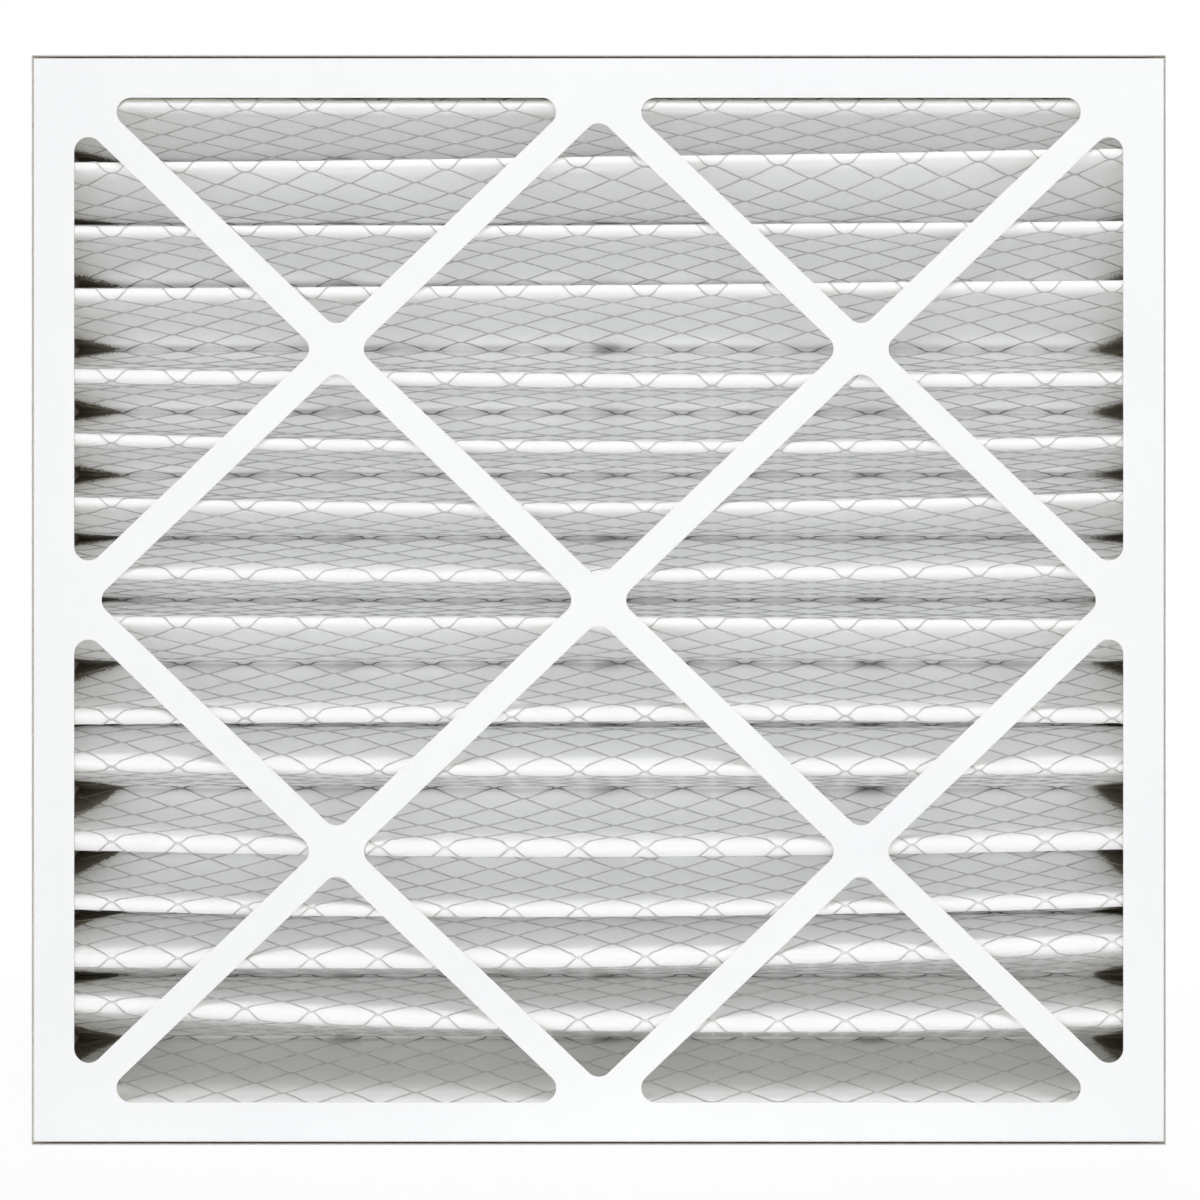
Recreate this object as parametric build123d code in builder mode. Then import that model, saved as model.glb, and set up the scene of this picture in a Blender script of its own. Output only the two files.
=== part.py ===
from build123d import *
from math import asin, atan2, degrees, hypot
import os

# Pleated panel air filter for a whole-house media cabinet.
#
# Frame: X along the width, Y through the depth (the front lattice faces -Y),
# Z up. The filter stands on its bottom edge, and the origin is the middle of
# that edge.
#
# Two die-cut board trays with the same diagonal lattice close over a pleated
# sheet of filter media. The rear tray is the outer one: its walls wrap round
# those of the front tray. Expanded metal is laminated to the front of the
# media, and strips glued across the rear folds keep the pleats apart.

# ---- driving dimensions, in millimetres -------------------------------------

# closed frame
frame_width = 527.05
frame_height = 506.4
frame_depth = 111.1

# board of both trays
board = 0.7
fold_radius = 0.95          # outside of a creased edge
wall_gap = 0.15             # between the nested walls
outer_setback = 1.0         # edge of the outer walls behind the front face
inner_setback = 1.2         # edge of the inner walls before the rear panel
tab_length = 18.5           # corner glue tabs, folded inside the top and bottom walls
tab_taper = 6.0
tab_relief = 1.5            # from a tab to the creases beside it

# lattice in both trays
flange_width = 20.0
strap_width = 13.5
opening_radius = 6.7        # corners of the openings

# pleated media
pleat_count = 16
media_thickness = 1.8
pleat_radius = 2.2          # middle of the sheet, round a fold
end_flap = 16.0             # flat ends of the sheet, glued to the frame
side_gap = 0.3              # from the pleat ends to the frame
seat_gap = 0.2              # between the pleats and what they bear on

# expanded metal laminated to the front of the media
mesh_thickness = 0.5
laminate_gap = 0.1

# strips glued across the rear folds
stay_count = 3
stay_spacing = 130.0
stay_width = 12.0
stay_thickness = 0.4
stay_end_gap = 2.0

# ---- where things lie -------------------------------------------------------

mid_height = frame_height / 2
front_y = -frame_depth / 2
rear_y = frame_depth / 2

# the front tray slips inside the outer walls and their glue tabs
front_width = frame_width - 2 * (board + wall_gap)
front_height = frame_height - 2 * (2 * board + wall_gap)
front_wall_depth = frame_depth - board - inner_setback
rear_wall_depth = frame_depth - outer_setback

# room for the media inside the front tray and its glue tabs
room_width = front_width - 2 * board
room_height = front_height - 4 * board
room_bottom = mid_height - room_height / 2

# centres of the folds at the front and at the rear of the pleats
front_fold_y = (
    front_y + board + seat_gap + mesh_thickness + laminate_gap + media_thickness / 2 + pleat_radius
)
stay_y = rear_y - board - seat_gap - stay_thickness
rear_fold_y = stay_y - seat_gap - media_thickness / 2 - pleat_radius
first_fold_z = room_bottom + seat_gap + media_thickness / 2 + pleat_radius
pleat_pitch = 2 * (mid_height - first_fold_z) / pleat_count

# the pleat walls are tangent to two folds in a row: their lean from Y, in degrees
fold_rise = pleat_pitch / 2
fold_run = rear_fold_y - front_fold_y
pleat_lean = degrees(
    atan2(fold_rise, fold_run) - asin(2 * pleat_radius / hypot(fold_rise, fold_run))
)


# ---- the two trays ----------------------------------------------------------

def lattice_openings(face_plane):
    """The openings that six diagonal straps leave inside the flange."""
    lattice_width = frame_width - 2 * flange_width
    lattice_height = frame_height - 2 * flange_width
    strap_angle = degrees(atan2(lattice_height, lattice_width))
    strap_length = hypot(lattice_width, lattice_height)
    with BuildSketch(face_plane) as openings:
        with Locations((0, mid_height)):
            Rectangle(lattice_width, lattice_height)
        with Locations([(0, mid_height + step * lattice_height / 2) for step in (-1, 0, 1)]):
            Rectangle(strap_length, strap_width, strap_angle, mode=Mode.SUBTRACT)
            Rectangle(strap_length, strap_width, -strap_angle, mode=Mode.SUBTRACT)
        fillet(openings.vertices(), opening_radius)
    return openings.sketch


def folded_tray(face_y, inward, width, height, wall_depth):
    """A tray folded from one die-cut board, open on the side that inward points to."""
    face_plane = Plane((0, face_y, 0), x_dir=(-inward, 0, 0), z_dir=(0, inward, 0))
    along_walls = Axis((0, face_y, 0), (0, inward, 0))
    openings = lattice_openings(face_plane)
    with BuildPart() as tray:
        # panel and walls
        with BuildSketch(face_plane):
            with Locations((0, mid_height)):
                Rectangle(width, height)
        extrude(amount=wall_depth)
        fillet(tray.faces().sort_by(along_walls)[0].edges(), fold_radius)
        offset(amount=-board, openings=tray.faces().sort_by(along_walls)[-1])

        # glue tabs of the side walls, flat against the top and bottom walls
        edge_x = width / 2 - board / 2
        near_y = face_y + inward * (board + tab_relief)
        far_y = face_y + inward * (wall_depth - tab_relief)
        tab_planes = [
            Plane.XY.offset(mid_height - height / 2 + board),
            Plane.XY.offset(mid_height + height / 2 - 2 * board),
        ]
        with BuildSketch(*tab_planes):
            with BuildLine():
                Polyline(
                    (edge_x, near_y),
                    (edge_x - tab_length, near_y + inward * tab_taper),
                    (edge_x - tab_length, far_y - inward * tab_taper),
                    (edge_x, far_y),
                    close=True,
                )
            make_face()
            mirror(about=Plane.YZ)
        extrude(amount=board)

        # die-cut lattice
        extrude(openings, amount=board, dir=(0, inward, 0), mode=Mode.SUBTRACT)
    return tray.part


# ---- the folded sheets ------------------------------------------------------

def sheet_face(shift, creased):
    """One face of a folded sheet, shifted towards the front from the middle of the media.

    It runs from the lower flap, through every rear and front fold, to the upper flap.
    A creased sheet is flat across the bottoms of its rear folds.
    """
    rear_radius = pleat_radius - shift
    front_radius = pleat_radius + shift
    for fold in range(pleat_count + 1):
        fold_z = first_fold_z + fold * pleat_pitch
        start_angle = -90 + pleat_lean if fold > 0 else -90
        end_angle = 90 - pleat_lean if fold < pleat_count else 90
        rear_fold = CenterArc(
            (rear_fold_y, fold_z), rear_radius, start_angle, end_angle - start_angle, mode=Mode.PRIVATE
        )
        if creased:
            rear_fold = Line(rear_fold @ 0, rear_fold @ 1, mode=Mode.PRIVATE)
        add(rear_fold)
        if fold == 0:
            Line(rear_fold @ 0, rear_fold @ 0 - Vector(end_flap, 0))
        else:
            Line(front_fold @ 1, rear_fold @ 0)
        if fold == pleat_count:
            Line(rear_fold @ 1, rear_fold @ 1 - Vector(end_flap, 0))
        else:
            front_fold = CenterArc(
                (front_fold_y, fold_z + fold_rise), front_radius, 270 - pleat_lean, 2 * pleat_lean - 180
            )
            Line(rear_fold @ 1, front_fold @ 0)


def folded_sheet(rear_shift, front_shift, creased=False):
    """A pleated sheet between two faces, as wide as the room in the frame."""
    flap_y = rear_fold_y - end_flap
    flap_height = mid_height - first_fold_z + pleat_radius
    with BuildPart() as sheet:
        with BuildSketch(Plane.YZ):
            with BuildLine():
                sheet_face(rear_shift, creased)
                sheet_face(front_shift, creased)
                for side in (-1, 1):
                    Line(
                        (flap_y, mid_height + side * (flap_height - rear_shift)),
                        (flap_y, mid_height + side * (flap_height - front_shift)),
                    )
            make_face()
        extrude(amount=room_width / 2 - side_gap, both=True)
    return sheet.part


# ---- build and write --------------------------------------------------------

os.makedirs("parts", exist_ok=True)

front_tray = folded_tray(front_y, 1, front_width, front_height, front_wall_depth)
front_tray.label = "front_tray"
export_step(front_tray, "parts/front_tray.step")

rear_tray = folded_tray(rear_y, -1, frame_width, frame_height, rear_wall_depth)
rear_tray.label = "rear_tray"
export_step(rear_tray, "parts/rear_tray.step")

media_face = media_thickness / 2
pleated_media = folded_sheet(-media_face, media_face)
pleated_media.label = "pleated_media"
export_step(pleated_media, "parts/pleated_media.step")

mesh_back = media_face + laminate_gap
support_mesh = folded_sheet(mesh_back, mesh_back + mesh_thickness, creased=True)
support_mesh.label = "support_mesh"
export_step(support_mesh, "parts/support_mesh.step")

stay_height = room_height - 2 * stay_end_gap
for index in range(stay_count):
    stay_x = (index - (stay_count - 1) / 2) * stay_spacing
    with BuildPart() as stay_strip:
        with Locations((stay_x, stay_y, mid_height)):
            Box(stay_width, stay_thickness, stay_height, align=(Align.CENTER, Align.MIN, Align.CENTER))
    name = f"stay_strip_{index + 1}"
    stay_strip.part.label = name
    export_step(stay_strip.part, f"parts/{name}.step")
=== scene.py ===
import math

import bpy
import numpy as np
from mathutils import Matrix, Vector


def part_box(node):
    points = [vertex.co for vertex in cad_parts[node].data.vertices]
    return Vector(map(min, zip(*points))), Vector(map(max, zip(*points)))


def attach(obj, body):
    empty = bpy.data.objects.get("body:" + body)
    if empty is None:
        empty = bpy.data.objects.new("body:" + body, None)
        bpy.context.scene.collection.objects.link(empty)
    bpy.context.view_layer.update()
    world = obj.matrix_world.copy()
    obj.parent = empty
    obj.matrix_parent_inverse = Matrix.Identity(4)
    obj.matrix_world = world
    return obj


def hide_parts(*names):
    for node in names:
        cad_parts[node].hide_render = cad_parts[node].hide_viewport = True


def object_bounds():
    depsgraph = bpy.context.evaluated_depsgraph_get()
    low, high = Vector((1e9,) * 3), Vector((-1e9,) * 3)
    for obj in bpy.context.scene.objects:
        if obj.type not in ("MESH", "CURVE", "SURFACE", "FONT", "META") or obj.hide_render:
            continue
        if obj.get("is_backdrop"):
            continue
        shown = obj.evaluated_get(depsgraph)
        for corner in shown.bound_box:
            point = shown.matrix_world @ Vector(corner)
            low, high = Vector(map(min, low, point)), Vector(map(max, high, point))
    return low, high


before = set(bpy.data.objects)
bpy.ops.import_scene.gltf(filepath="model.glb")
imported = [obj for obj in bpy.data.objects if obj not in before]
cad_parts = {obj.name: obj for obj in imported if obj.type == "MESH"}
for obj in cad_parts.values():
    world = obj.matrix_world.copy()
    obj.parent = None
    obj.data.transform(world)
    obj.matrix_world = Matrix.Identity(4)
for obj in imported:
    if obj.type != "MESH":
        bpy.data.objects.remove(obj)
cad_low, cad_high = (list(corner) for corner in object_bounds())

# Looks of the pleated panel filter. The folded media and the expanded metal on
# it are built here, and the board trays and the paper strips are the CAD nodes
# with better materials. Lengths are metres, and values marked _MM millimetres.

MM = 0.001

# ---- the folded media --------------------------------------------------------

PLEATS = 16
SHEET_MM = 1.8              # thickness of the nonwoven
REAR_RADIUS_MM = 1.5        # middle of the sheet, round a rear fold
FLAP_MM = 16.0              # flat ends of the sheet
TIP_RETREAT_MM = 0.7        # how far a front fold may stand back from the board
FRONT_WANDER_MM = 0.5       # how far a front fold wanders up and down along its length
REAR_WANDER_MM = 0.35       # the same for a rear fold, which the paper strips hold
WALL_WAVER_MM = 0.8         # how far a wall wanders from its own bow
FOLD_SEED = 11
WALL_SEED = 12

STATIONS = 53               # places along the width where the folds are worked out
ARC_STEPS = 7               # round each fold
WALL_STEPS = 8              # down each wall
FLAP_STEPS = 2

# The next three lists run from the top pleat down. How far each front fold lies
# above its even place, at its left end, its middle and its right end. They come
# from rows of bright bands in the photograph, partly found by a script and
# partly read from enlarged crops:
FOLD_DRIFT_MM = (
    (-1.9, -1.9, -1.9),
    (0.2, 2.6, 7.0),
    (1.6, 1.9, 4.2),
    (2.3, 5.0, 7.1),
    (-3.9, -6.2, -5.2),
    (-1.8, -6.4, -3.2),
    (-0.6, -3.6, 2.2),
    (-2.6, -4.3, -1.2),
    (5.5, 4.5, 3.5),
    (-8.3, -6.9, -7.8),
    (1.2, -1.8, -0.4),
    (-3.3, -7.8, -3.2),
    (-1.4, -5.5, 0.1),
    (2.9, 2.9, 10.8),
    (14.0, 4.0, 7.5),
    (-4.5, -4.5, -4.5),
)

# How far the two walls of each pleat bow outwards, top side and underside:
WALL_BOW_MM = (
    (0.0, 0.5),
    (0.0, 4.5),
    (0.0, -3.0),
    (0.0, -2.0),
    (-2.0, -3.2),
    (-2.6, -1.2),
    (-2.4, 2.5),
    (0.0, 0.0),
    (-1.0, 4.0),
    (-2.8, -1.5),
    (5.0, 0.0),
    (-3.2, 0.0),
    (-2.2, -1.0),
    (4.0, 0.0),
    (1.5, 0.0),
    (0.5, 0.0),
)

# Radius of each front fold, at the middle of the sheet:
NOSE_RADIUS_MM = (1.3, 1.3, 1.3, 1.6, 2.1, 1.5, 1.2, 1.4, 1.3, 2.2, 1.5, 2.8, 1.8, 2.3, 2.4, 1.4)

# ---- the expanded metal ------------------------------------------------------

LONG_WAY_MM = 31.0          # across the width, from knuckle to knuckle
SHORT_WAY_MM = 31.0         # along the folded sheet
STRAND_WIDTH_MM = 0.8
STRAND_THICK_MM = 0.4
STRAND_GAP_MM = 0.05        # between the media and the strands
KNUCKLE_SHARE = 0.14        # flat part of each half wave
KNUCKLE_EASE = 0.04         # how much a strand eases into its knuckles
KNUCKLE_OVERLAP_MM = 0.35   # how far two strands stand apart where they are joined
METAL_SEED = 13

METAL_STATIONS = 4 * STATIONS   # the sheet is followed more finely than it is built
METAL_ARC_STEPS = 2 * ARC_STEPS
METAL_WALL_STEPS = 12
WAVE_STEPS = 24             # places along one wave, kept only at the folds

# ---- marks and painted shade on the media and the metal ----------------------

# Painted shade: a dark brown wedge in the valley ends beside the rear flange, where shade falls.
END_SHADE_FROM = 0.2405       # from the middle: painted shade at the pleat ends shows from here outwards
END_SHADE_SLOPE = 0.1         # its least depth for each unit outwards
END_SHADE_SLOPE_MORE = 2.6    # how much steeper some valleys fill
END_SHADE_LOW = (0.28, 0.02)  # heights between which the lower pleats fill deeper
END_SHADE_LOW_MORE = 2.8
END_SHADE_RAGGED = 0.03
END_SHADE_EDGE_LEFT = 0.002   # a crisp edge at the left, a soft one at the right
END_SHADE_EDGE_RIGHT = 0.010

STAY_CENTRES_MM = (-130.0, 0.0, 130.0)
GLUE_WIDTH = (0.0105, 0.003)    # from a stay's centre: where its glue begins, and where it is full
GLUE_DEPTH = (0.016, 0.002)     # the same from the rear folds
GLUE_VALLEYS = (0.3, 0.6)       # part of the valleys has none
GLUE_RAGGED = 0.01
GLUE_STRENGTH = 0.65

TINT_HEIGHT = (0.13, 0.02)  # a grey on the lowest pleats, in place of shade that the lamps leave out
TINT_DEPTH = (0.100, 0.06)  # but not on their noses

STRAND_SHADE_DEPTH = (0.008, 0.003)   # painted shade: strands darken towards the rear folds, fitted to the photograph

# ---- how much light passes through the media ---------------------------------

REAR_FOLD_PASSES = 0.22
WALL_PASSES = 0.55
NOSE_PASSES = 0.07
REAR_FOLD_DEPTH = (0.002, 0.015)    # from rear fold to wall
NOSE_DEPTH = (0.094, 0.103)         # from wall to nose

# ---- colours, and (noise level, colour or grey) stops ------------------------

# painted shade at the pleat ends
PAINTED_END_SHADE = (0.33, 0.305, 0.26)
GLUE = (0.55, 0.55, 0.54)
TINTED = (0.855, 0.86, 0.85)
# painted shade on the strands near the rear folds
PAINTED_STRAND_SHADE = (0.27, 0.27, 0.26)
WHITE = (1, 1, 1, 1)

COATED_BOARD = ((0.3, (0.84, 0.85, 0.86)), (0.7, (0.87, 0.88, 0.885)))
RAW_BOARD = ((0.3, (0.43, 0.395, 0.335)), (0.5, (0.51, 0.475, 0.415)), (0.75, (0.59, 0.55, 0.49)))
BOARD_ROUGHNESS = ((0.0, 0.9), (1.0, 0.42))     # raw, coated
NONWOVEN = ((0.3, (0.945, 0.95, 0.952)), (0.7, (0.986, 0.989, 0.989)))
STRAND = ((0.3, (0.50, 0.50, 0.49)), (0.7, (0.62, 0.62, 0.61)))
STRAND_ROUGHNESS = ((0.3, 0.45), (0.7, 0.62))
STAY_PAPER = ((0.3, (0.72, 0.70, 0.65)), (0.7, (0.82, 0.80, 0.76)))
FLOOR = ((0.3, (0.93, 0.93, 0.93)), (0.7, (0.95, 0.95, 0.95)))

# ---- noises (scale, detail, roughness) and reliefs (strength, height) --------

BOARD_CLOUD = (9.0, 2.0, 0.55)
BOARD_FIBRE = (900.0, 1.0, 0.6)
BOARD_SPECK = (420.0, 2.0, 0.7)
MEDIA_FIBRE = (750.0, 2.0, 0.65)
METAL_CLOUD = (160.0, 1.0, 0.6)
PAPER_CLOUD = (60.0, 4.0, 0.6)
PAPER_FIBRE = (800.0, 3.0, 0.7)
FLOOR_CLOUD = (3.0, 3.0, 0.5)
MARK_EDGES = (620.0, 1.0, 0.7)
MARK_VALLEYS = (26.0, 0.0, 0.5)

BOARD_RELIEF = (0.25, 0.00006)
MEDIA_RELIEF = (0.3, 0.0002)
PAPER_RELIEF = (0.3, 0.0001)
COAT_SKIN = 0.0002          # how far inside the outer faces the board still counts as coated

# ---- camera ------------------------------------------------------------------

CAMERA_DISTANCE = 1.6       # in front of the front face
CAMERA_RIGHT = 0.0642
FRAME_WIDTH_PX = 1200
FRAME_FIELD = 0.557         # width that the picture covers at the front face
AXIS_PX = 737.0             # where the camera's axis meets the picture
SENSOR_MM = 36.0

# ---- studio ------------------------------------------------------------------

# lamps: name, place, what they point at, size, watts
# Powers fitted to tones in the photograph, not taken from real lamps.
LAMPS = (
    ("key", (0.2, -1.6, 2.2), (0.0, 0.0, 0.25), (1.4, 0.8), 27.0),
    ("low", (0.0, -2.4, 0.13), (0.0, 0.0, 0.3), (1.4, 0.22), 12.5),
    ("rear_low", (0.0, 1.5, 0.3), (0.0, 0.0, 0.25), (1.2, 0.5), 6.0),
    ("rear_high", (0.0, 1.0, 1.6), (0.0, 0.0, 0.35), (1.2, 0.6), 9.5),
)
WORLD_LIGHT = 0.36
FLOOR_HALF = 4.0
SHADOW_REACH = (0.3, 1.6)   # from the object: the floor's shadow fades out between these
NEAR_WHITE = 0.86           # share of plain white that the camera sees where the shadow is fullest

LIGHT_BOUNCES = 12
TRACED_BOUNCES = 3          # after these, light between the pleats is taken as even
EVEN_LIGHT_SHARE = 3.7      # of the world's light, fitted to tones in the photograph
EVEN_LIGHT_REACH = 0.006    # what is nearer than this still shades it


# ---- the folded sheet --------------------------------------------------------

def smooth_noise(rng, count, places, waves=3):
    """Rows of gentle waves of about -1 to 1 over places that run from -1 to 1."""
    longest, evened = 0.9 * math.pi, 1.6
    total = np.zeros((len(places), count))
    for wave in range(1, waves + 1):
        phase = rng.uniform(0, 2 * math.pi, count)
        size = rng.uniform(0.4, 1.0, count) / wave
        total += size * np.sin(places[:, None] * longest * wave + phase)
    return total / evened


def fold_centres(reach, low, high):
    """Centre (y, z) of every fold, rear and front in turn from the bottom up, at each reach along the width."""
    rng = np.random.default_rng(FOLD_SEED)
    half = SHEET_MM / 2
    middle_z = (low[2] + high[2]) / 2
    first = low[2] + (half + REAR_RADIUS_MM) * MM
    pitch = 2 * (middle_z - first) / PLEATS

    # a parabola through the left, middle and right drift of each front fold
    left, middle, right = np.array(FOLD_DRIFT_MM[::-1]).T * MM
    lean = (right - left) / 2
    bend = (left + right) / 2 - middle
    front_z = first + (np.arange(PLEATS) + 0.5) * pitch
    front_z = front_z + middle + lean * reach[:, None] + bend * reach[:, None] ** 2
    front_z += FRONT_WANDER_MM * MM * smooth_noise(rng, PLEATS, reach)
    foremost = low[1] + (half + np.array(NOSE_RADIUS_MM[::-1])) * MM
    front_y = foremost + TIP_RETREAT_MM * MM * (0.5 + 0.5 * smooth_noise(rng, PLEATS, reach))

    rear_z = first + np.arange(PLEATS + 1) * pitch + np.zeros((len(reach), 1))
    rear_z[:, 1:-1] += REAR_WANDER_MM * MM * smooth_noise(rng, PLEATS - 1, reach)

    centres = np.empty((2, len(reach), 2 * PLEATS + 1))
    centres[0, :, 0::2] = high[1] - (half + REAR_RADIUS_MM) * MM
    centres[0, :, 1::2] = np.maximum(front_y, foremost)
    centres[1, :, 0::2], centres[1, :, 1::2] = rear_z, front_z
    return centres


def wall_directions(centres, radius):
    """Unit normals (y, z) of the walls, each tangent to two folds in a row on their opposite sides."""
    dy, dz = np.diff(centres)
    length = np.hypot(dy, dz)
    uy, uz = dy / length, dz / length
    side = np.sign(uy)
    share = (radius[:-1] + radius[1:]) / length
    across = np.sqrt(1 - share ** 2)
    return np.stack([uy * share - uz * side * across, uz * share + uy * side * across])


def wall_bows(reach):
    """How far the middle of each wall stands off a straight line, along the wall's normal."""
    rng = np.random.default_rng(WALL_SEED)
    top, under = np.array(WALL_BOW_MM[::-1]).T
    bow = np.stack([-under, top], axis=1).ravel()
    return (bow + WALL_WAVER_MM * smooth_noise(rng, len(bow), reach, waves=2)) * MM


def angle_of(direction):
    return np.arctan2(direction[1], direction[0])


def folded_surface(stations, arc_steps, wall_steps):
    """The middle of the sheet: x of its columns, grids of points and front normals, and which rows are folds."""
    low, high = (np.array(corner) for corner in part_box("pleated_media"))
    x = np.linspace(low[0], high[0], stations)
    reach = x / ((high[0] - low[0]) / 2)
    centres = fold_centres(reach, low, high)
    last = centres.shape[2] - 1
    radius = np.full(last + 1, REAR_RADIUS_MM * MM)
    radius[1::2] = np.array(NOSE_RADIUS_MM[::-1]) * MM
    walls = wall_directions(centres, radius)
    bow = wall_bows(reach)

    rows = []   # (y, z) of the row, (y, z) of its front normal, whether it is on a fold
    up = np.stack([np.zeros(stations), np.ones(stations)])
    rearwards = np.array([[1.0], [0.0]])
    for step in range(FLAP_STEPS):
        away = FLAP_MM * MM * (1 - step / FLAP_STEPS)
        rows.append((centres[:, :, 0] - radius[0] * up - away * rearwards, up, False))
    for fold in range(last + 1):
        is_front = fold % 2
        facing = 1 if is_front else -1
        start = angle_of(-walls[:, :, fold - 1]) if fold > 0 else angle_of(-up)
        end = angle_of(walls[:, :, fold]) if fold < last else angle_of(up)
        if is_front:
            start = start + 2 * math.pi
        for step in range(arc_steps + 1):
            angle = start + (end - start) * step / arc_steps
            out = np.stack([np.cos(angle), np.sin(angle)])
            rows.append((centres[:, :, fold] + radius[fold] * out, facing * out, True))
        if fold == last:
            break
        wall = walls[:, :, fold]
        begins = centres[:, :, fold] + radius[fold] * wall
        ends = centres[:, :, fold + 1] - radius[fold + 1] * wall
        for step in range(1, wall_steps):
            t = step / wall_steps
            stands_off = bow[:, fold] * math.sin(math.pi * t)
            rows.append((begins + (ends - begins) * t + stands_off * wall, facing * wall, False))
    for step in range(1, FLAP_STEPS + 1):
        away = FLAP_MM * MM * step / FLAP_STEPS
        rows.append((centres[:, :, last] + radius[last] * up - away * rearwards, -up, False))

    places, directions, is_fold = zip(*rows)
    across = np.repeat(x[:, None], len(rows), axis=1)
    points = np.stack([across, *np.stack(places, axis=2)], axis=2)
    normals = np.stack([np.zeros_like(across), *np.stack(directions, axis=2)], axis=2)
    return x, points, normals, np.array(is_fold)


def length_along(points):
    """Arc length of a grid of points, row by row, as a mean over the width."""
    steps = np.linalg.norm(np.diff(points, axis=1), axis=2).mean(axis=0)
    return np.concatenate([[0.0], np.cumsum(steps)])


# ---- meshes ------------------------------------------------------------------

def grid_faces(columns, rows, start=0, flip=False):
    """Quads of a grid whose points run row by row within each column."""
    a = start + (np.arange(columns - 1)[:, None] * rows + np.arange(rows - 1)[None, :]).ravel()
    quads = np.stack([a, a + rows, a + rows + 1, a + 1], axis=1)
    return quads[:, ::-1] if flip else quads


def mesh_object(name, points, quads, material, smooth=True):
    mesh = bpy.data.meshes.new(name)
    mesh.vertices.add(len(points))
    mesh.vertices.foreach_set("co", np.asarray(points, dtype=np.float32).ravel())
    mesh.loops.add(quads.size)
    mesh.loops.foreach_set("vertex_index", quads.astype(np.int32).ravel())
    mesh.polygons.add(len(quads))
    mesh.polygons.foreach_set("loop_start", np.arange(0, quads.size, 4, dtype=np.int32))
    mesh.polygons.foreach_set("use_smooth", np.full(len(quads), smooth))
    mesh.update(calc_edges=True)
    mesh.validate()
    mesh.materials.append(material)
    made = bpy.data.objects.new(name, mesh)
    bpy.context.collection.objects.link(made)
    return made


def build_media(material):
    """The accordion of nonwoven, a closed sheet with a front, a rear and a rim."""
    x, points, normals, _ = folded_surface(STATIONS, ARC_STEPS, WALL_STEPS)
    half = SHEET_MM / 2 * MM
    columns, rows = points.shape[:2]
    front = (points + half * normals).reshape(-1, 3)
    rear = (points - half * normals).reshape(-1, 3)
    count = columns * rows
    rim = np.concatenate([
        np.arange(rows),
        np.arange(1, columns) * rows + rows - 1,
        count - 1 - np.arange(1, rows),
        (columns - 2 - np.arange(columns - 2)) * rows,
    ])
    following = np.roll(rim, -1)
    rim_faces = np.stack([rim, following, following + count, rim + count], axis=1)
    quads = np.concatenate([
        grid_faces(columns, rows),
        grid_faces(columns, rows, start=count, flip=True),
        rim_faces,
    ])
    media = mesh_object("media_sheet", np.concatenate([front, rear]), quads, material)
    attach(media, "root")
    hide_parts("pleated_media")


class MetalPath:
    """The folded sheet as the strands follow it, by x and by arc length s."""

    def __init__(self):
        self.inner = (SHEET_MM / 2 + STRAND_GAP_MM) * MM
        self.outer = self.inner + STRAND_THICK_MM * MM
        self.x, self.points, self.normals, self.is_fold = folded_surface(
            METAL_STATIONS, METAL_ARC_STEPS, METAL_WALL_STEPS)
        self.along = length_along(self.points + (self.inner + self.outer) / 2 * self.normals)
        self.rows = np.arange(len(self.along))

    def holds(self, x, s):
        return (x >= self.x[0]) & (x <= self.x[-1]) & (s > self.along[0]) & (s < self.along[-1])

    def near_fold(self, s):
        row = np.interp(s, self.along, self.rows)
        return np.interp(row, self.rows, self.is_fold.astype(float)) > 0

    def at(self, x, s):
        """Points on the inner and the outer face of the metal."""
        inside = 1.001      # keeps the last cell of the grid in reach
        columns, rows = len(self.x), len(self.rows)
        x = np.clip(x, self.x[0], self.x[-1])
        column = np.clip((x - self.x[0]) / (self.x[-1] - self.x[0]) * (columns - 1), 0, columns - inside)
        row = np.clip(np.interp(s, self.along, self.rows), 0, rows - inside)
        i, j = column.astype(int), row.astype(int)
        u, v = (column - i)[:, None], (row - j)[:, None]
        found = []
        for grid in (self.points, self.normals):
            below = grid[i, j] * (1 - u) + grid[i + 1, j] * u
            above = grid[i, j + 1] * (1 - u) + grid[i + 1, j + 1] * u
            found.append(below * (1 - v) + above * v)
        place, normal = found
        normal = normal / np.linalg.norm(normal, axis=1)[:, None]
        return place + self.inner * normal, place + self.outer * normal


def wave_offset(phase):
    """A strand's line: flat at the knuckles, straight between them, from -1 to 1."""
    turn = (phase % 1.0) * 2
    turn = np.where(turn > 1, 2 - turn, turn)
    share = np.clip((turn - KNUCKLE_SHARE / 2) / (1 - KNUCKLE_SHARE), 0, 1)
    return 1 - 2 * (share - KNUCKLE_EASE * np.sin(2 * math.pi * share))


def strand_phases(waves):
    """Places along a strand, in waves, and which of them are its corners and bends between the folds."""
    digits = 6
    knuckle = KNUCKLE_SHARE / 4
    bends = np.array([knuckle, 0.25, 0.5 - knuckle, 0.5 + knuckle, 0.75, 1 - knuckle])
    bends = np.round((np.arange(waves)[:, None] + bends).ravel(), digits)
    fine = np.round(np.arange(waves * WAVE_STEPS) / WAVE_STEPS, digits)
    phases = np.unique(np.concatenate([fine, bends]))
    return phases, np.isin(phases, bends)


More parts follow.
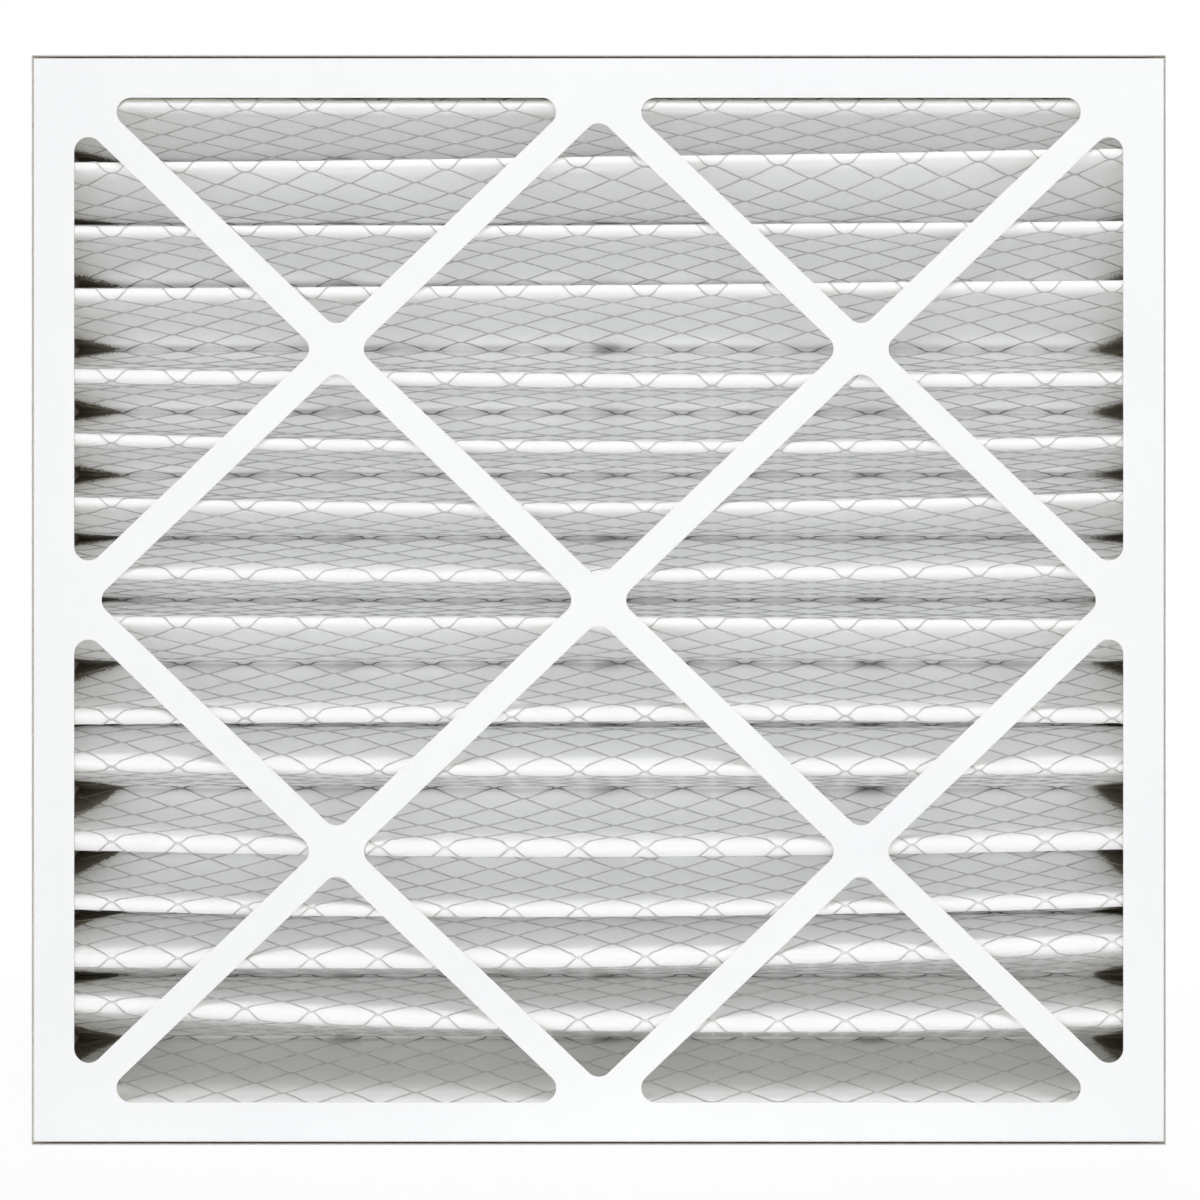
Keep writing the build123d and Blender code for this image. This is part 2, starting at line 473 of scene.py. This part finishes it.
def strand_mesh(path, x, s):
    """One flat strand along x and s: its points, four to a place, and its quads."""
    half = STRAND_WIDTH_MM / 2 * MM
    run_x, run_s = np.gradient(x), np.gradient(s)
    run = np.hypot(run_x, run_s)
    side_x, side_s = -run_s / run * half, run_x / run * half
    low_inner, low_outer = path.at(x - side_x, s - side_s)
    high_inner, high_outer = path.at(x + side_x, s + side_s)
    ring = np.stack([low_inner, high_inner, high_outer, low_outer], axis=1)

    last = 4 * (len(x) - 1)
    first = np.arange(0, last, 4)[:, None]
    corner = np.arange(4)[None, :]
    following = (corner + 1) % 4
    sides = np.stack([first + corner, first + following, first + following + 4, first + corner + 4], axis=2)
    caps = [[3, 2, 1, 0], [last, last + 1, last + 2, last + 3]]
    return ring.reshape(-1, 3), np.concatenate([sides.reshape(-1, 4), caps])


def build_strands(material):
    """The expanded metal: waves of flat strand joined at their knuckles, laid on the folds."""
    path = MetalPath()
    half_short = SHORT_WAY_MM / 2 * MM
    long_way = LONG_WAY_MM * MM
    total = path.along[-1]
    lines = int(total // half_short)
    margin = (total - (lines - 1) * half_short) / 2
    swing = (half_short - KNUCKLE_OVERLAP_MM * MM) / 2

    phases, is_bend = strand_phases(math.ceil((path.x[-1] - path.x[0]) / long_way) + 1)
    drift = np.random.default_rng(METAL_SEED).uniform(0, 1)
    line_x = path.x[0] + (phases - drift) * long_way

    # three pieces, each of a third of the lines
    thirds = (0, lines // 3 + 1, 2 * lines // 3 + 1, lines)
    for third in range(3):
        points, quads, count = [], [], 0
        for line in range(thirds[third], thirds[third + 1]):
            sign = 1 if line % 2 else -1
            line_s = margin + line * half_short + sign * swing * wave_offset(phases)
            keep = path.holds(line_x, line_s) & (is_bend | path.near_fold(line_s))
            strand_points, strand_quads = strand_mesh(path, line_x[keep], line_s[keep])
            points.append(strand_points)
            quads.append(strand_quads + count)
            count += len(strand_points)
        strands = mesh_object(f"expanded_metal_{third + 1}", np.concatenate(points), np.concatenate(quads),
                              material, smooth=False)
        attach(strands, "root")
        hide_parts("support_mesh")


# ---- node helpers ------------------------------------------------------------

class Nodes:
    """The node tree of a new material or world, with short ways to add to it."""

    def __init__(self, owner, output="OutputMaterial"):
        self.owner = owner
        owner.use_nodes = True
        self.tree = owner.node_tree
        self.tree.nodes.clear()
        self.output = self.add(output)

    def add(self, kind, **given):
        """A new node; each value given is a setting, a socket to link or an input's value."""
        node = self.tree.nodes.new("ShaderNode" + kind)
        for key, value in given.items():
            name = key.replace("_", " ")
            if name in node.inputs:
                self.feed(node.inputs[name], value)
            else:
                setattr(node, key, value)
        return node

    def feed(self, socket, value):
        if isinstance(value, bpy.types.NodeSocket):
            self.tree.links.new(value, socket)
        else:
            socket.default_value = value

    def show(self, shader):
        """Puts a shader on the surface and gives back the material or world."""
        self.feed(self.output.inputs["Surface"], shader)
        return self.owner


def new_material(name):
    """A new material's nodes, and the place of a point on its object."""
    n = Nodes(bpy.data.materials.new(name))
    return n, n.add("TexCoord").outputs["Object"]


def noise(n, place, scale, detail, roughness):
    return n.add("TexNoise", Vector=place, Scale=scale, Detail=detail, Roughness=roughness).outputs["Fac"]


def ramp(n, source, *stops):
    """A colour ramp through (position, colour) stops; a plain number is a grey."""
    made = n.add("ValToRGB", Fac=source)
    elements = made.color_ramp.elements
    while len(elements) < len(stops):
        elements.new(0.5)
    for element, (place, colour) in zip(elements, stops):
        element.position = place
        element.color = (colour, colour, colour, 1) if isinstance(colour, float) else (*colour, 1)
    return made.outputs["Color"]


def bump(n, source, strength, height):
    return n.add("Bump", Height=source, Strength=strength, Distance=height).outputs["Normal"]


def number(n, operation, *given):
    """One Math node; each input is a socket or a plain number."""
    made = n.add("Math", operation=operation)
    for socket, value in zip(made.inputs, given):
        n.feed(socket, value)
    return made.outputs[0]


def highest(n, sockets):
    found = None
    for socket in sockets:
        found = socket if found is None else number(n, "MAXIMUM", found, socket)
    return found


def fade(n, source, start, end):
    """0 up to start, 1 from end on, smooth between; it falls where end is the lower one."""
    rises = start < end
    made = n.add("MapRange", interpolation_type="SMOOTHSTEP", Value=source,
                 From_Min=min(start, end), From_Max=max(start, end),
                 To_Min=0.0 if rises else 1.0, To_Max=1.0 if rises else 0.0)
    return made.outputs["Result"]


def blend(n, share, under, over):
    """Colour over laid on colour under by share."""
    made = n.add("Mix", data_type="RGBA")
    n.feed(made.inputs[0], share)
    for socket, value in ((made.inputs[6], under), (made.inputs[7], over)):
        n.feed(socket, (*value, 1) if isinstance(value, tuple) else value)
    return made.outputs[2]


def mix_shaders(n, share, under, over):
    made = n.add("MixShader")
    for socket, value in zip(made.inputs, (share, under, over)):
        n.feed(socket, value)
    return made.outputs[0]


def rays_that_see_white(n):
    """1 for camera, glossy and transmitted rays: what shows the plain white surroundings."""
    path = n.add("LightPath")
    return highest(n, [path.outputs[f"Is {kind} Ray"] for kind in ("Camera", "Glossy", "Transmission")])


# ---- marks -------------------------------------------------------------------

class PleatMarks:
    """Glue, and painted shade at the pleat ends and on the lowest pleats, as masks over the folded sheet.
    Glue and a fitted tint on the pleats, as masks over the folded sheet.
    """

    def __init__(self, n, place):
        self.n = n
        self.x, y, self.z = n.add("SeparateXYZ", Vector=place).outputs
        self.depth = number(n, "SUBTRACT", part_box("pleated_media")[1][1], y)    # from the rear folds
        self.ragged = number(n, "SUBTRACT", noise(n, place, *MARK_EDGES), 0.5)
        self.valley = noise(n, place, *MARK_VALLEYS)

    def painted_end_shade(self):
        """Painted shade at the pleat ends: a wedge over the rear flange, deeper further out, in some valleys and
        in the lower pleats.
        """
        n = self.n
        outside = number(n, "SUBTRACT", number(n, "ABSOLUTE", self.x), END_SHADE_FROM)
        slope = number(n, "MULTIPLY_ADD", self.valley, END_SHADE_SLOPE_MORE, END_SHADE_SLOPE)
        deeper = number(n, "MULTIPLY_ADD", fade(n, self.z, *END_SHADE_LOW), END_SHADE_LOW_MORE, 1.0)
        wedge = number(n, "MULTIPLY", outside, number(n, "MULTIPLY", slope, deeper))
        over = number(n, "SUBTRACT", wedge, self.depth)
        over = number(n, "MULTIPLY_ADD", self.ragged, END_SHADE_RAGGED, over)
        right = number(n, "GREATER_THAN", self.x, 0.0)
        left = number(n, "SUBTRACT", 1.0, right)
        at_left = number(n, "MULTIPLY", fade(n, over, -END_SHADE_EDGE_LEFT, END_SHADE_EDGE_LEFT), left)
        at_right = number(n, "MULTIPLY", fade(n, over, -END_SHADE_EDGE_RIGHT, END_SHADE_EDGE_RIGHT), right)
        return number(n, "ADD", at_left, at_right)

    def glue(self):
        """Glue of the paper strips, soaked through the rear folds in most of the valleys."""
        n = self.n
        spots = []
        for centre in STAY_CENTRES_MM:
            away = number(n, "ABSOLUTE", number(n, "SUBTRACT", self.x, centre * MM))
            spots.append(fade(n, number(n, "MULTIPLY_ADD", self.ragged, GLUE_RAGGED, away), *GLUE_WIDTH))
        glued = number(n, "MULTIPLY", highest(n, spots), fade(n, self.depth, *GLUE_DEPTH))
        return number(n, "MULTIPLY", glued, fade(n, self.valley, *GLUE_VALLEYS))

    def tint(self):
        """Shade painted as colour on the backs of the lowest pleats. Nothing real lies there."""
        n = self.n
        return number(n, "MULTIPLY", fade(n, self.z, *TINT_HEIGHT), fade(n, self.depth, *TINT_DEPTH))


# ---- materials ---------------------------------------------------------------

def board_material(name, low, high, facing):
    """Clay-coated white board, grey-brown where it isn't coated: its back and its cut edges.

    low and high are the tray's box; facing is -1 for the front tray and 1 for the rear one.
    """
    n, place = new_material(name)
    split = n.add("SeparateXYZ", Vector=place)
    face_y = low[1] if facing < 0 else high[1]
    outsides = (("X", low[0], -1), ("X", high[0], 1), ("Z", low[2], -1), ("Z", high[2], 1), ("Y", face_y, facing))
    coated = highest(n, [
        number(n, "GREATER_THAN" if sense > 0 else "LESS_THAN", split.outputs[axis], level - sense * COAT_SKIN)
        for axis, level, sense in outsides])
    coat = ramp(n, noise(n, place, *BOARD_CLOUD), *COATED_BOARD)
    raw = ramp(n, noise(n, place, *BOARD_SPECK), *RAW_BOARD)
    shader = n.add("BsdfPrincipled", IOR=1.45,
                   Base_Color=blend(n, coated, raw, coat),
                   Roughness=ramp(n, coated, *BOARD_ROUGHNESS),
                   Normal=bump(n, noise(n, place, *BOARD_FIBRE), *BOARD_RELIEF))
    return n.show(shader.outputs[0])


def media_material():
    """White nonwoven: light passes through it, and its fibres cloud and fuzz the surface."""
    n, place = new_material("nonwoven")
    marks = PleatMarks(n, place)
    fibre = noise(n, place, *MEDIA_FIBRE)
    colour = ramp(n, fibre, *NONWOVEN)
    colour = blend(n, marks.tint(), colour, TINTED)
    colour = blend(n, number(n, "MULTIPLY", marks.glue(), GLUE_STRENGTH), colour, GLUE)
    # painted shade at the pleat ends
    colour = blend(n, marks.painted_end_shade(), colour, PAINTED_END_SHADE)
    relief = bump(n, fibre, *MEDIA_RELIEF)
    held_back = n.add("BsdfDiffuse", Roughness=0.0, Color=colour, Normal=relief)
    passed_on = n.add("BsdfTranslucent", Color=colour, Normal=relief)
    # fitted to tones in the photograph: the folds pass less light than the walls
    passes = number(n, "MULTIPLY_ADD", fade(n, marks.depth, *REAR_FOLD_DEPTH),
                    WALL_PASSES - REAR_FOLD_PASSES, REAR_FOLD_PASSES)
    passes = number(n, "MULTIPLY_ADD", fade(n, marks.depth, *NOSE_DEPTH), NOSE_PASSES - WALL_PASSES, passes)
    return n.show(mix_shaders(n, passes, held_back.outputs[0], passed_on.outputs[0]))


def metal_material():
    """Dull galvanised strand, with painted shade towards the rear folds and at the pleat ends.
    Dull galvanised strand, with a fitted darkening towards the rear folds.
    """
    n, place = new_material("galvanised_strand")
    marks = PleatMarks(n, place)
    cloud = noise(n, place, *METAL_CLOUD)
    colour = ramp(n, cloud, *STRAND)
    # painted shade on the strands towards the rear folds
    colour = blend(n, fade(n, marks.depth, *STRAND_SHADE_DEPTH), colour, PAINTED_STRAND_SHADE)
    # painted shade at the pleat ends, on the strands as well
    colour = blend(n, marks.painted_end_shade(), colour, PAINTED_END_SHADE)
    shader = n.add("BsdfPrincipled", Metallic=0.3, Base_Color=colour,
                   Roughness=ramp(n, cloud, *STRAND_ROUGHNESS))
    return n.show(shader.outputs[0])


def paper_material():
    """Cream paper of the strips, with short fibres."""
    n, place = new_material("stay_paper")
    shader = n.add("BsdfPrincipled", Roughness=0.8,
                   Base_Color=ramp(n, noise(n, place, *PAPER_CLOUD), *STAY_PAPER),
                   Normal=bump(n, noise(n, place, *PAPER_FIBRE), *PAPER_RELIEF))
    return n.show(shader.outputs[0])


def floor_material():
    """Pale floor: the camera sees plain white far off, and only a faint shadow near the object."""
    n, place = new_material("pale_floor")
    colour = ramp(n, noise(n, place, *FLOOR_CLOUD), *FLOOR)
    shader = n.add("BsdfPrincipled", Roughness=0.9, Base_Color=colour)
    away = n.add("VectorMath", operation="LENGTH")
    n.feed(away.inputs[0], place)
    share = n.add("MapRange", Value=away.outputs["Value"], From_Min=SHADOW_REACH[0],
                  From_Max=SHADOW_REACH[1], To_Min=NEAR_WHITE, To_Max=1.0)
    seen = number(n, "MULTIPLY", share.outputs["Result"], rays_that_see_white(n))
    white = n.add("Emission", Color=WHITE, Strength=1.0)
    return n.show(mix_shaders(n, seen, shader.outputs[0], white.outputs[0]))


def dress(node, material):
    node.data.materials.clear()
    node.data.materials.append(material)


# ---- the studio --------------------------------------------------------------

def build_camera(low, high):
    """Square to the front, and shifted to the photograph's framing."""
    data = bpy.data.cameras.new("camera")
    camera = bpy.data.objects.new("camera", data)
    bpy.context.collection.objects.link(camera)
    camera.location = (CAMERA_RIGHT, low[1] - CAMERA_DISTANCE, (low[2] + high[2]) / 2)
    camera.rotation_euler = (math.pi / 2, 0, 0)
    data.sensor_width = SENSOR_MM
    data.sensor_fit = "HORIZONTAL"
    data.lens = SENSOR_MM * CAMERA_DISTANCE / FRAME_FIELD
    data.shift_x = (FRAME_WIDTH_PX / 2 - AXIS_PX) / FRAME_WIDTH_PX
    bpy.context.scene.camera = camera


def build_floor():
    half = FLOOR_HALF
    points = [(-half, -half, 0), (half, -half, 0), (half, half, 0), (-half, half, 0)]
    floor = mesh_object("floor", np.array(points), np.array([[0, 1, 2, 3]]), floor_material(), smooth=False)
    floor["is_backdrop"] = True


def build_world():
    """Soft light all round, seen as plain white."""
    n = Nodes(bpy.data.worlds.new("studio"), "OutputWorld")
    lit = n.add("Background", Color=WHITE, Strength=WORLD_LIGHT)
    seen = n.add("Background", Color=WHITE, Strength=1.0)
    bpy.context.scene.world = n.show(mix_shaders(n, rays_that_see_white(n), lit.outputs[0], seen.outputs[0]))


def build_lights():
    for name, place, aim, size, watts in LAMPS:
        data = bpy.data.lights.new(name, "AREA")
        data.shape = "RECTANGLE"
        data.size, data.size_y = size
        data.energy = watts
        lamp = bpy.data.objects.new(name, data)
        bpy.context.collection.objects.link(lamp)
        lamp.location = place
        lamp.rotation_euler = (Vector(aim) - Vector(place)).to_track_quat("-Z", "Y").to_euler()
        lamp.visible_camera = False


def set_light_paths():
    """Light between the pleats is traced for a few bounces, and taken as even after them."""
    cycles = bpy.context.scene.cycles
    cycles.max_bounces = LIGHT_BOUNCES
    cycles.diffuse_bounces = LIGHT_BOUNCES
    cycles.transmission_bounces = LIGHT_BOUNCES
    cycles.use_fast_gi = True
    cycles.fast_gi_method = "REPLACE"
    cycles.ao_bounces_render = TRACED_BOUNCES
    even = bpy.context.scene.world.light_settings
    even.ao_factor = EVEN_LIGHT_SHARE
    even.distance = EVEN_LIGHT_REACH


# ---- build -------------------------------------------------------------------

for name, label, facing in (("front_tray", "board_front", -1), ("rear_tray", "board_rear", 1)):
    tray_low, tray_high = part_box(name)
    dress(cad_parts[name], board_material(label, tray_low, tray_high, facing))
paper = paper_material()
for name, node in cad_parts.items():
    if name.startswith("stay_strip"):
        dress(node, paper)
build_media(media_material())
build_strands(metal_material())

build_camera(cad_low, cad_high)
build_floor()
build_world()
build_lights()
set_light_paths()
bpy.context.scene.view_settings.view_transform = "Standard"
